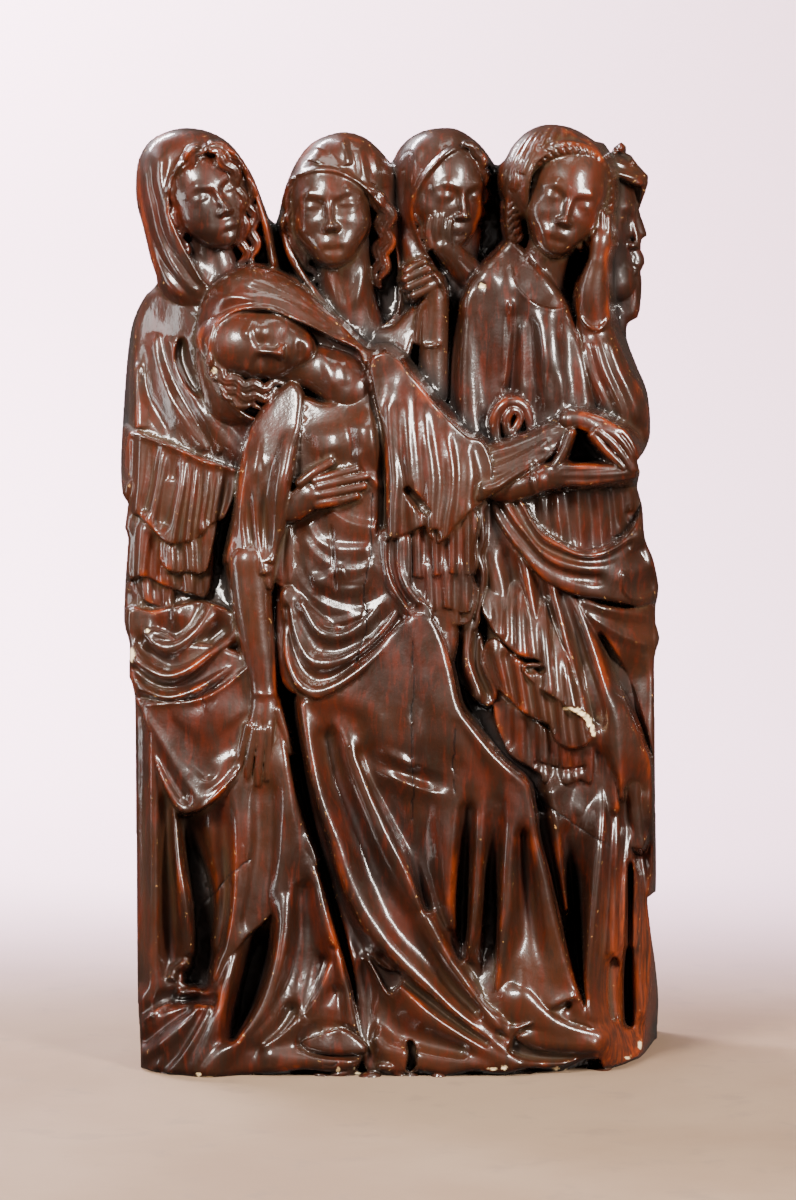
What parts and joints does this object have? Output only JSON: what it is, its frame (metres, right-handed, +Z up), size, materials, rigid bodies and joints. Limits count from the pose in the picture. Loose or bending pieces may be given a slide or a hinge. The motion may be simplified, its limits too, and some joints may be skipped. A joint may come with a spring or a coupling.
{
  "type": "figure group relief",
  "caption": "Freestanding high relief of a group of robed, veiled figures around a swooning woman, cast in one piece with a rocky base and a flat back.",
  "frame": {"origin": "centre of the bounding box at the level of the underside", "axes": "+Z up, +X to the right of someone who faces the carved front, +Y away from them, towards the flat back"},
  "size_m": [0.5834, 0.2654, 0.9783],
  "materials": {
    "plaster": "plaster with a dark red-brown varnish, polished on the raised folds and worn to white at a few edges"
  },
  "bodies": {
    "root": {"group_cast": "plaster"}
  },
  "joints": []
}
